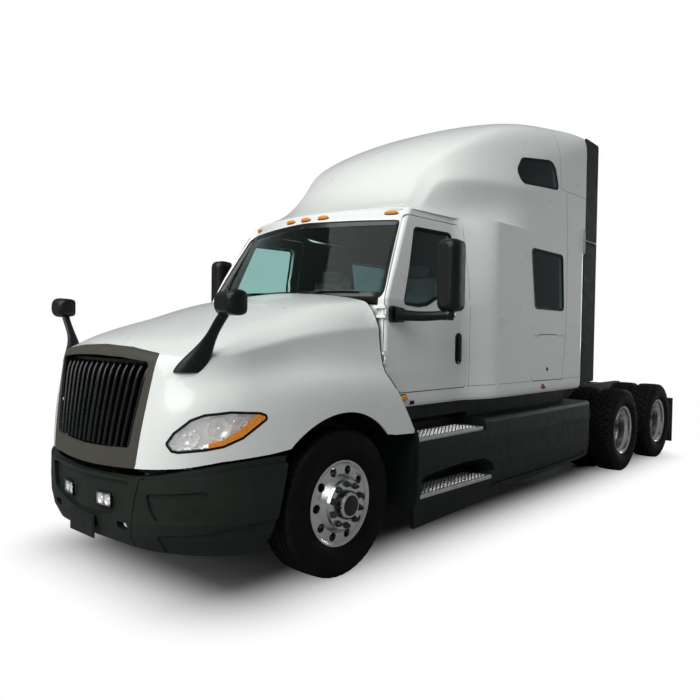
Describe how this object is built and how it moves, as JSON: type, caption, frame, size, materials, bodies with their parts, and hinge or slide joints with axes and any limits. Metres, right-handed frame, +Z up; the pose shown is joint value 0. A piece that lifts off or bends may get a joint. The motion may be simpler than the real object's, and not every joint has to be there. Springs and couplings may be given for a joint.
{
  "type": "semi truck tractor unit",
  "caption": "Bonneted highway tractor with a high-roof sleeper cab, tilting hood, opening doors, steered front wheels, tandem dual rear wheels and a fifth wheel.",
  "frame": {"origin": "on the ground at the middle of the vehicle's length and width", "axes": "+Z up, -Y the way the vehicle faces, +X its left side"},
  "size_m": [3.0076, 8.4886, 4.0147],
  "materials": {
    "white_paint": "gloss",
    "surround_plastic": "satin",
    "black_plastic": "grained",
    "dark_plastic": "grained",
    "clear_lens": "clear",
    "lamp_body": "mirror",
    "amber_lens": "gloss",
    "red_lens": "gloss",
    "tinted_glass": "clear",
    "chassis_paint": "satin",
    "engine_iron": "matte",
    "aluminium": "brushed",
    "polished_wheel": "polished",
    "tyre_rubber": "matte",
    "flap_rubber": "matte",
    "cabin_plastic": "grained",
    "seat_fabric": "woven"
  },
  "bodies": {
    "chassis": {"frame": "chassis_paint", "bumper": "dark_plastic", "fog_lamps": "clear_lens", "front_axle": "chassis_paint", "suspension": "chassis_paint", "rear_axles": "chassis_paint", "driveshaft": "chassis_paint", "engine": "engine_iron", "gearbox": "engine_iron", "radiator": "aluminium", "fuel_tanks": "aluminium", "fairing_left": "dark_plastic", "fairing_right": "dark_plastic", "steps": "aluminium", "cab_shell": "white_paint", "sleeper_shell": "white_paint", "windshield": "tinted_glass", "dashboard": "cabin_plastic", "seats": "seat_fabric", "bunk": "seat_fabric", "roof_cap": "white_paint", "sleeper_glass": "tinted_glass", "side_extenders": "black_plastic", "fifth_wheel_base": "chassis_paint", "mud_flaps": "flap_rubber", "tail_lamps": "red_lens", "marker_lamps": "amber_lens"},
    "hood": {"hood_shell": "white_paint", "grille_surround": "surround_plastic", "grille": "black_plastic", "headlamps": "lamp_body", "headlamp_lenses": "clear_lens", "turn_lamps": "amber_lens", "fender_liners": "black_plastic", "hood_mirrors": "black_plastic"},
    "door_left": {"door_left": "white_paint", "door_glass_left": "tinted_glass", "mirror_left": "black_plastic"},
    "door_right": {"door_right": "white_paint", "door_glass_right": "tinted_glass", "mirror_right": "black_plastic"},
    "luggage_left": {"luggage_door_left": "white_paint"},
    "luggage_right": {"luggage_door_right": "white_paint"},
    "steering_wheel": {"steering_wheel": "cabin_plastic"},
    "knuckle_left": {"knuckle_left": "chassis_paint"},
    "knuckle_right": {"knuckle_right": "chassis_paint"},
    "tie_rod": {"tie_rod": "chassis_paint"},
    "front_left": {"wheel_front_left": "polished_wheel", "tyre_front_left": "tyre_rubber"},
    "front_right": {"wheel_front_right": "polished_wheel", "tyre_front_right": "tyre_rubber"},
    "mid_left": {"wheel_mid_left": "polished_wheel", "tyres_mid_left": "tyre_rubber"},
    "mid_right": {"wheel_mid_right": "polished_wheel", "tyres_mid_right": "tyre_rubber"},
    "rear_left": {"wheel_rear_left": "polished_wheel", "tyres_rear_left": "tyre_rubber"},
    "rear_right": {"wheel_rear_right": "polished_wheel", "tyres_rear_right": "tyre_rubber"},
    "fifth_wheel": {"fifth_wheel_plate": "chassis_paint"}
  },
  "joints": [
    {"name": "hood_tilt", "type": "hinge", "parent": "chassis", "child": "hood", "pos_m": [0, -4.065, 0.55], "axis": [1, 0, 0], "range_deg": [0, 65]},
    {"name": "door_left_hinge", "type": "hinge", "parent": "chassis", "child": "door_left", "pos_m": [1.1, -2.433, 1.7], "axis": [0, 0, -1], "range_deg": [0, 65]},
    {"name": "door_right_hinge", "type": "hinge", "parent": "chassis", "child": "door_right", "pos_m": [-1.1, -2.433, 1.7], "axis": [0, 0, 1], "range_deg": [0, 65]},
    {"name": "luggage_left_hinge", "type": "hinge", "parent": "chassis", "child": "luggage_left", "pos_m": [1.2, 0.09, 1.7], "axis": [0, -1, 0], "range_deg": [0, 85]},
    {"name": "luggage_right_hinge", "type": "hinge", "parent": "chassis", "child": "luggage_right", "pos_m": [-1.2, 0.09, 1.7], "axis": [0, 1, 0], "range_deg": [0, 85]},
    {"name": "steer_left", "type": "hinge", "parent": "chassis", "child": "knuckle_left", "pos_m": [0.876, -2.945, 0.47], "axis": [0, 0, 1], "range_deg": [-40, 40]},
    {"name": "steer_right", "type": "hinge", "parent": "chassis", "child": "knuckle_right", "pos_m": [-0.876, -2.945, 0.47], "axis": [0, 0, 1], "range_deg": [-40, 40]},
    {"name": "tie_rod_ball", "type": "hinge", "parent": "knuckle_left", "child": "tie_rod", "pos_m": [0.876, -2.745, 0.37], "axis": [0, 0, 1], "range_deg": [-40, 40]},
    {"name": "steering_column", "type": "hinge", "parent": "chassis", "child": "steering_wheel", "pos_m": [0.56, -1.935, 1.83], "axis": [0, 0.866, 0.5], "range_deg": [-720, 720]},
    {"name": "spin_front_left", "type": "hinge", "parent": "knuckle_left", "child": "front_left", "pos_m": [1.023, -2.945, 0.515], "axis": [1, 0, 0], "continuous": true},
    {"name": "spin_front_right", "type": "hinge", "parent": "knuckle_right", "child": "front_right", "pos_m": [-1.023, -2.945, 0.515], "axis": [1, 0, 0], "continuous": true},
    {"name": "spin_mid_left", "type": "hinge", "parent": "chassis", "child": "mid_left", "pos_m": [0.914, 2.231, 0.515], "axis": [1, 0, 0], "continuous": true},
    {"name": "spin_mid_right", "type": "hinge", "parent": "chassis", "child": "mid_right", "pos_m": [-0.914, 2.231, 0.515], "axis": [1, 0, 0], "continuous": true},
    {"name": "spin_rear_left", "type": "hinge", "parent": "chassis", "child": "rear_left", "pos_m": [0.914, 3.551, 0.515], "axis": [1, 0, 0], "continuous": true},
    {"name": "spin_rear_right", "type": "hinge", "parent": "chassis", "child": "rear_right", "pos_m": [-0.914, 3.551, 0.515], "axis": [1, 0, 0], "continuous": true},
    {"name": "fifth_wheel_tilt", "type": "hinge", "parent": "chassis", "child": "fifth_wheel", "pos_m": [0, 2.771, 1.125], "axis": [1, 0, 0], "range_deg": [-15, 15]}
  ],
  "couplings": [
    {"joint": "steer_right", "follows": "steer_left", "ratio": 1},
    {"joint": "tie_rod_ball", "follows": "steer_left", "ratio": -1},
    {"joint": "steering_column", "follows": "steer_left", "ratio": 18}
  ]
}
